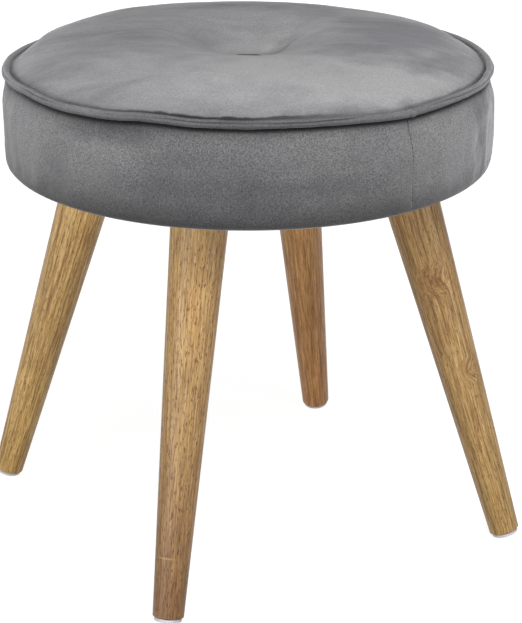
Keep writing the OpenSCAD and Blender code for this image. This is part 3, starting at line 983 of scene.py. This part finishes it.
def sewn_place(r, z, a):
    """Moves a point of the seat's drawn shape to where the sewn top really pulls it."""
    if z < SEAM_Z - TOP_CORNER_R:
        t = clamp((z - WIDEST_Z) / (SEAM_Z - WIDEST_Z))
        t = t * t * (3 - 2 * t)
        return r - drawn_in(a) * t, z + drawn_up(a) * t
    s = min(1, r / CROWN_R)
    return r - drawn_in(a) * s ** 3, z + drawn_up(a) * s ** 4


def band_section(rows):
    """Points up the band's outside, from the edge turned under the board to the edge at the seam."""
    points = []
    for i in range(MARGIN_STEPS):
        points.append((MARGIN_IN_R + (SEAT_R - CORNER_R - MARGIN_IN_R) * i / MARGIN_STEPS, UNDER_Z))
    low, high = BAND_SIDE
    points += arc(band_r(low) - CORNER_R, low, CORNER_R, -90, CORNER_STEPS)
    for i in range(1, rows):
        z = low + (high - low) * i / rows
        points.append((band_r(z), z))
    points += arc(band_r(high) - TOP_CORNER_R, high, TOP_CORNER_R, 0, 4)
    return points + [(188 * MM, SEAM_Z), (FLANGE_IN_R, SEAM_Z)]


def filled_band():
    """The band filled from inside: how far it stands off the drawn shape from place to place."""
    rows, columns = 22, 260
    section = band_section(rows)
    count = len(section)
    angles = even_angles(columns)
    cloth = lathe("band_cloth", angles, count, lambda a, j: polar(section[j][0] - MM, a, section[j][1]))

    def held(p):
        return p.z < UNDER_Z + 3 * MM or p.z > SEAM_Z - 3 * MM

    puff(cloth, held, pressure=4, grow=0.008, cap=4 * MM)
    ended = [hypot(v.co.x, v.co.y) for v in cloth.data.vertices]
    out = [ended[j::count] for j in range(count)]
    bpy.data.objects.remove(cloth)
    mean = [sum(row) / columns for row in out]
    low, high = BAND_SIDE

    def shift(z, a):
        if not low < z < high:
            return 0
        up = (z - low) / (high - low) * rows
        j = min(rows - 1, int(up))
        round_at = (a % (2 * pi)) / (2 * pi) * columns
        i = int(round_at)
        f, g = round_at - i, up - j
        value = 0
        j += MARGIN_STEPS + CORNER_STEPS
        for row, share in ((j, 1 - g), (j + 1, g)):
            here, there = out[row][i % columns], out[row][(i + 1) % columns]
            value += share * ((1 - f) * here + f * there - mean[row])
        return BAND_SHARE * value

    return shift


def band_surface(rows, smooth=False):
    """The band's outside as a function of angle and row, with its puckers, soft lumps and sewn join."""
    section = band_section(rows)
    shift = (lambda z, a: 0) if smooth else filled_band()

    def point(a, j, inward=0):
        r, z = section[j]
        side = clamp((z - UNDER_Z) / (9 * MM)) * clamp((SEAM_Z - z) / (5 * MM))
        from_seam = angle_from(a, SEAM_ANGLE) * SEAT_R
        pulled = 0.75 + 0.35 * sin(2 * pi * z / STITCH) if not smooth else 0.9
        join = JOIN_DEPTH * pulled * bell(from_seam, 0.8 * MM) + 0.4 * MM * bell(from_seam, 5 * MM)
        under_piping = bell(SEAM_Z - z, 15 * MM)
        pucker = (0.8 * wander(a, 12, 7.7) + 0.6 * wander(a, 30, 2.4)) * MM * under_piping
        soft = 0.8 * MM * wander(a, 5, z * 30)
        folds = 0
        for at, width, depth in BAND_FOLDS:
            folds += depth * MM * hump(from_front(a), at, width) * bell(SEAM_Z - z, 20 * MM)
        t = clamp((z - WAIST_LOW_Z) / (WAIST_Z - WAIST_LOW_Z))
        slim = (BAND_SLACK + WAIST_DEPTH * t * t * (3 - 2 * t)) * clamp((z - UNDER_Z) / (9 * MM))
        out = side * (pucker + soft - join - folds) - slim * (r > SEAT_R - 9 * MM) + shift(z, a)
        r, z = sewn_place(r + out, z, a)
        return polar(r - inward, a, z)

    return section, point


def build_band():
    section, point = band_surface(64)
    band = lathe("band_velvet", seam_angles(320), len(section), point)
    mark(band, "grade", [(z - UNDER_Z) / (SEAM_Z - UNDER_Z) for r, z in section])
    thicken(band, VELVET_T)
    dress(band, "velvet_band", "side_band")


def build_foam_strip():
    """The thin foam between the band and the board, with the foam block's edge."""
    section, point = band_surface(12, smooth=True)
    outside = [j for j in range(len(section)) if MARGIN_STEPS <= j < len(section) - 2]
    count = len(outside) + 2
    inner = BOARD_R + 0.3 * MM
    bottom = UNDER_Z + VELVET_T + 0.3 * MM

    def place(a, j):
        top = FOAM_TOP_Z + 0.8 * drawn_up(a)
        if j < len(outside):
            p = point(a, outside[j], VELVET_T + 0.35 * MM)
            p.z = max(min(p.z, top), bottom)
            return p
        if j == len(outside):
            return polar(min(inner, SEAT_R - drawn_in(a) - 6 * MM), a, top)
        return polar(inner, a, bottom)

    strip = lathe("foam_strip", even_angles(160), count, place, closed=True)
    dress(strip, "foam", "foam_rim")


def piping_place(a, x, z, loose, join=0):
    """A point of the piping's section: x outwards and z upwards from the middle of its cord."""
    sway = (0.35 * wander(a, 5, 3.3) + 0.2 * wander(a, 14, 6.1)) * MM
    lift = (0.4 * wander(a, 7, 11.9) + 0.25 * wander(a, 17, 5.5)) * MM
    swell = 1 + loose * (0.04 * wander(a, 30, 9.1) + join / SLEEVE_R)
    r, up = PIPING_RING_R + x * swell + sway * loose, PIPING_Z + z * swell + lift * loose
    r, up = sewn_place(r, up, a)
    return polar(r, a, up)


def piping_wrinkle(a, t):
    """How much of a wrinkle along the piping there is, t being the angle round its section."""
    at = radians(32) + radians(30) * wander(a, 4, 2.4)
    strong = clamp(0.55 + 2.2 * wander(a, 3, 7.7))
    return strong * bell(angle_from(t, at), radians(11))


def build_piping():
    """A sleeve round its cord, with the flat seam allowance that is sewn in below the crown."""
    around = 40
    half_gap = radians(14)
    section = []
    for i in range(around + 1):
        t = pi + half_gap + (2 * pi - 2 * half_gap) * i / around
        section.append((SLEEVE_OUT + SLEEVE_R * cos(t), SLEEVE_R * sin(t), t))
    flange_low = SEAM_Z + 0.3 * MM - PIPING_Z
    flange_x = FLANGE_IN_R - PIPING_RING_R
    neck_x = -SLEEVE_R * 0.9
    section += [(neck_x, flange_low + FLANGE_T, None), (flange_x, flange_low + FLANGE_T, None),
                (flange_x, flange_low, None), (neck_x, flange_low, None)]

    def point(a, j):
        x, z, t = section[j]
        if t is None:
            return piping_place(a, x, z, 0 if x < neck_x else 1)
        # the sleeve is joined on the slant and laps over itself there
        from_join = angle_from(a, SEAM_ANGLE) * SEAT_R + 2.2 * MM * sin(t)
        lap = 0.4 * MM * bell(from_join - 2.6 * MM, 2.4 * MM) - 0.6 * MM * bell(from_join, 0.7 * MM)
        return piping_place(a, x, z, 1, lap - PIPING_DENT * piping_wrinkle(a, t))

    angles = seam_angles(420)
    piping = lathe("piping_velvet", angles, len(section), point, closed=True)
    mark(piping, "grade", [i / around if i <= around else 0 for i in range(len(section))])
    # painted shade along the piping's wrinkle and on its inner side in front, where it meets the crown
    folds = []
    for a in angles:
        front = max(0, cos(from_front(a)))
        for _, _, t in section:
            inner = clamp((angle_from(t or 0, 0) - radians(62)) / radians(30))
            folds.append(0 if t is None else 0.8 * piping_wrinkle(a, t) + 0.65 * inner * front)
    mark(piping, "fold", folds)
    dress(piping, "velvet_piping", "piping_sleeve")


def build_cord():
    """The cord inside the piping, laid of three strands."""
    strands = 3
    around = 18

    def point(a, j):
        t = 2 * pi * j / around
        twist = a * PIPING_RING_R / (7 * MM) * 2 * pi
        r = CORD_R * (0.88 + 0.12 * abs(cos(strands * (t + round(twist, 6)) / 2)))
        return piping_place(a, r * cos(t), r * sin(t), 1)

    cord = lathe("piping_core", even_angles(900), around, point, closed=True)
    dress(cord, "cotton", "piping_cord")


def build_button():
    """A covered button: domed, with the cloth gathered in small pleats under its edge."""
    rows = [(0.2 * MM, -3 * MM), (2 * MM, -3 * MM), (2 * MM, 0), (BUTTON_R * 0.6, 0)]
    for i in range(13):
        a = radians(-80 + 170 * i / 12)
        rows.append((BUTTON_R * 0.8 + BUTTON_R * 0.2 * cos(a), BUTTON_H * 0.3 * (1 + sin(a))))
    for i in range(1, 7):
        r = BUTTON_R * 0.8 * (1 - i / 6) + 0.05 * MM
        rows.append((r, BUTTON_H * (0.6 + 0.4 * (1 - (r / (0.8 * BUTTON_R)) ** 2))))

    def point(a, j):
        r, z = rows[j]
        pleat = 1 + 0.03 * cos(16 * a + 2 * wander(a, 3, 1)) * (1 if 3 < j < 12 else 0)
        return polar(r * pleat, a, BUTTON_BOTTOM_Z + z)

    button = lathe("button_velvet", even_angles(96), len(rows), point, filled=True)
    dress(button, "velvet_button", "tuft_button")


# Underside

def build_cover():
    """Thin black cloth under the seat, sagging a little between its staples and the leg plates."""
    flat, faces = disc_points(120)
    plates = [plate_matrix(degrees) for degrees in PLACES.values()]
    bolts = [plate @ Vector((-0.8 * MM, 0, PLATE_T)) for plate in plates]
    screws = [plate @ Vector((x, y, 0)) for plate in plates for x, y in SCREW_PLACES]

    def height(x, y):
        r = hypot(x, y)
        a = atan2(y, x)
        step = clamp((COVER_STEP_R - r) / COVER_STEP_W)
        z = COVER_LOW_Z - 0.15 * MM + (COVER_HIGH_Z - COVER_LOW_Z) * step
        near = min(hypot(x - p.x, y - p.y) for p in bolts)
        inside = clamp((COVER_STEP_R - COVER_STEP_W - r) / (20 * MM))
        free = clamp((near - 44 * MM) / (25 * MM)) * inside
        sag = 1.2 * MM + 0.9 * MM * uneven(x * 18, y * 18, 5)
        wrinkle = 0.5 * MM * uneven(x * 60, y * 15, 1)
        edge = 0.25 * MM * wander(a, 24, 8.8) * bell(COVER_R - r, 6 * MM)
        return z - free * (sag + wrinkle) - abs(edge)

    flat = [(x * COVER_R, y * COVER_R) for x, y in flat]
    points = [Vector((x, y, height(x, y))) for x, y in flat]
    holes = [(p, 7.5 * MM) for p in bolts] + [(p, 3.5 * MM) for p in screws]
    kept = []
    for face in faces:
        centre = sum((points[i] for i in face), Vector()) / 4
        if all(hypot(centre.x - p.x, centre.y - p.y) > r for p, r in holes):
            kept.append(face)
    cover = make("cover_cloth", points, kept)
    thicken(cover, 0.5 * MM)
    dress(cover, "black_cloth", "dust_cover")


def build_screws():
    """Pan-head screws with a cross recess."""
    rows = [(0.05, 14), (0.9, 12.6), (2, 10), (2, 0), (4.25, 0), (4.25, -0.5), (4.05, -1.2),
            (3.4, -1.85), (2.3, -2.25), (1.1, -2.4), (0.05, -2.42)]
    head = lathe("screw_one", even_angles(32), len(rows),
                 lambda a, j: polar(rows[j][0] * MM, a, rows[j][1] * MM), filled=True)
    cutter = make("screw_cross", [], [])
    bm = bmesh.new()
    for turn in (0, 90):
        bar = bmesh.ops.create_cube(bm, size=1)["verts"]
        bmesh.ops.scale(bm, verts=bar, vec=(4.4 * MM, 0.9 * MM, 2.4 * MM))
        bmesh.ops.rotate(bm, verts=bar, cent=(0, 0, 0), matrix=Matrix.Rotation(radians(turn), 3, "Z"))
        bmesh.ops.translate(bm, verts=bar, vec=(0, 0, (-2.2 - 0.01 * (turn > 0)) * MM))
    bm.to_mesh(cutter.data)
    bm.free()
    cut = head.modifiers.new("Cross", "BOOLEAN")
    cut.object = cutter
    cut.solver = "EXACT"
    cut.use_self = True
    bake_modifiers(head)
    bpy.data.objects.remove(cutter)
    bm = bmesh.new()
    for degrees in PLACES.values():
        for x, y in SCREW_PLACES:
            # each screw has stopped at its own angle
            turned = Matrix.Rotation(degrees + x * 300 + y * 170, 4, "Z")
            copy = head.data.copy()
            copy.transform(plate_matrix(degrees, x, y) @ turned)
            bm.from_mesh(copy)
            bpy.data.meshes.remove(copy)
    screws = make("screws_cross", [], [])
    bm.to_mesh(screws.data)
    bm.free()
    bpy.data.objects.remove(head)
    screws.data.shade_flat()
    dress(screws, "zinc_steel", "plate_screws")


# Studio

def build_floor():
    half = 6
    corners = [(-half, -half, 0), (half, -half, 0), (half, half, 0), (-half, half, 0)]
    floor = make("floor", corners, [(0, 1, 2, 3)])
    floor.location.z = -0.1 * MM
    material = bpy.data.materials.new("floor")
    tree = Tree(material)
    felt = tree.node("BsdfDiffuse", Color=(0.25, 0.25, 0.25, 1))
    shade = tree.node("BsdfDiffuse", Color=(0.3, 0.3, 0.3, 1))
    glow = tree.node("Emission", Strength=0.9)
    seen = tree.feed(tree.node("AddShader"), shade, glow)
    tree.node("OutputMaterial", Surface=tree.only_seen(seen, felt))
    floor.data.materials.append(material)


def build_world():
    world = bpy.data.worlds.new("studio")
    bpy.context.scene.world = world
    tree = Tree(world)
    felt = tree.node("Background", Strength=WORLD_LIGHT)
    seen = tree.node("Background", Color=(1, 1, 1, 1))
    tree.node("OutputWorld", Surface=tree.only_seen(seen, felt))


def aimed(name, data, place, along):
    """A lamp or camera at a place that looks along a direction."""
    obj = add(name, data)
    obj.location = place
    obj.rotation_mode = "QUATERNION"
    obj.rotation_quaternion = along.to_track_quat("-Z", "Y")
    return obj


def build_lights():
    turn = Matrix.Rotation(PHOTO_TURN, 3, "Z")
    for name, place, aim, width, height, power in LAMPS:
        lamp = bpy.data.lights.new(name, "AREA")
        lamp.shape = "RECTANGLE"
        lamp.size = width
        lamp.size_y = height
        lamp.energy = power
        spot = turn @ Vector(place)
        aimed(name, lamp, spot, turn @ Vector(aim) - spot)


def build_camera():
    turn = Matrix.Rotation(PHOTO_TURN, 3, "Z")
    back = turn @ Vector((0, -cos(CAMERA_UP), sin(CAMERA_UP)))
    data = bpy.data.cameras.new("camera")
    data.sensor_width = SENSOR
    data.lens = SENSOR * FOCAL_PIXELS / PIXELS_HIGH
    place = turn @ Vector(CAMERA_AIM) + back * CAMERA_DISTANCE
    bpy.context.scene.camera = aimed("camera", data, place, -back)


for build in (build_camera, build_world, build_floor, build_lights, paint_nodes, build_crown, build_band,
              build_foam_strip, build_piping, build_cord, build_button, build_cover, build_screws):
    build()
bpy.context.scene.view_settings.view_transform = "Standard"
